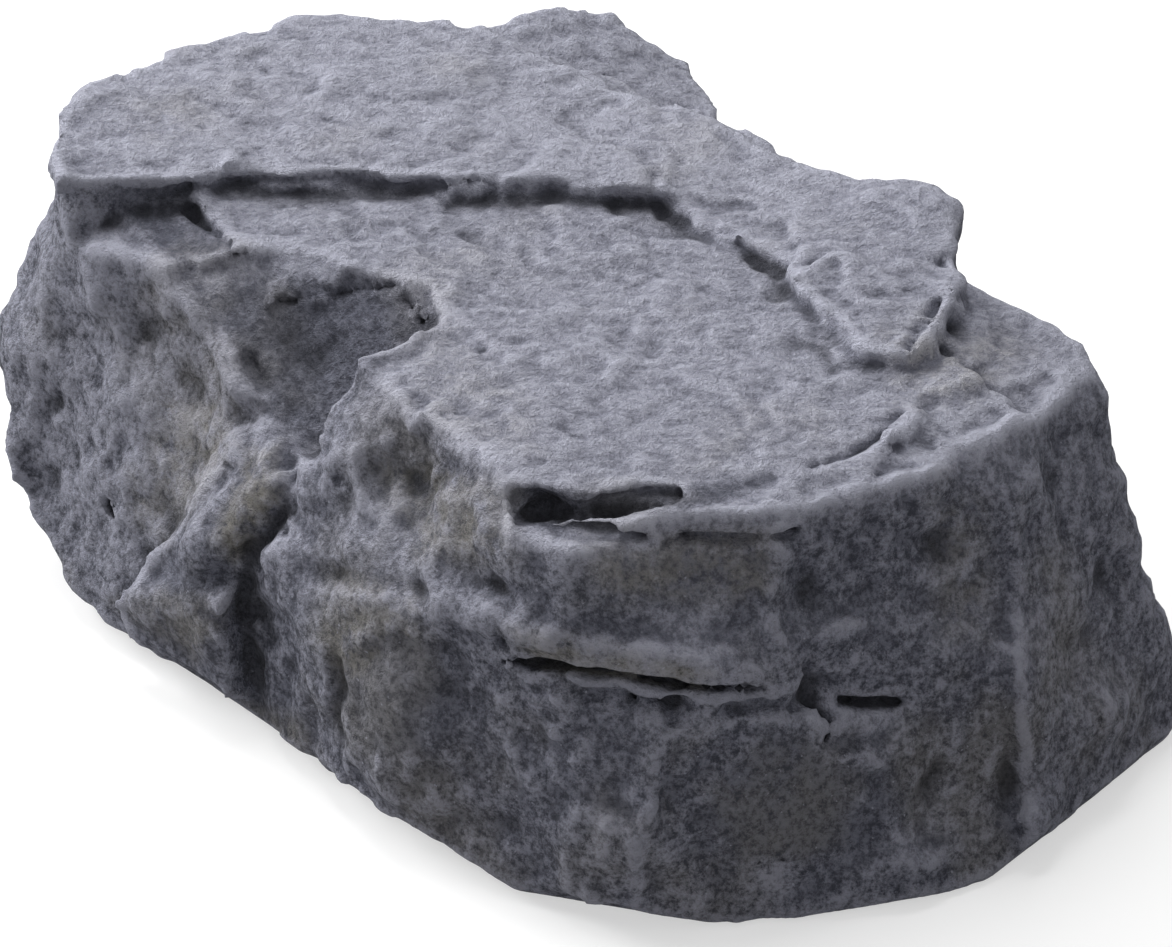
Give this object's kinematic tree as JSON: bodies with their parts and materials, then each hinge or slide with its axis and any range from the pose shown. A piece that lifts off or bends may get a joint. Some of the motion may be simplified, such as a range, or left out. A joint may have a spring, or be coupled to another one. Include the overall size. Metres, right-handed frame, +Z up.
{
  "type": "hide a key rock",
  "caption": "Cast resin slate stone that hides a house key behind a hinged door in its flat base.",
  "frame": {"origin": "on the ground plane, under the middle of the stone's bounding box", "axes": "+X along the stone's length, +Y across it, +Z up; the pictured side faces -Y and +X"},
  "size_m": [0.1017, 0.072, 0.04],
  "materials": {
    "slate_resin": "matte",
    "black_plastic": "satin",
    "foam_tape": "matte",
    "screw_steel": "satin",
    "grey_foam": "matte",
    "pin_steel": "polished",
    "door_plastic": "satin",
    "black_rubber": "matte"
  },
  "bodies": {
    "stone": {"rock_shell": "slate_resin", "key_tub": "black_plastic", "tub_gasket": "foam_tape", "tub_screws": "screw_steel", "foam_liner": "grey_foam", "hinge_pin": "pin_steel"},
    "door": {"compartment_door": "door_plastic", "door_seal": "black_rubber"}
  },
  "joints": [
    {"name": "door_hinge", "type": "hinge", "parent": "stone", "child": "door", "pos_m": [-0.03, -0.0025, 0.0019], "axis": [0, 1, 0], "range_deg": [0, 105]}
  ]
}
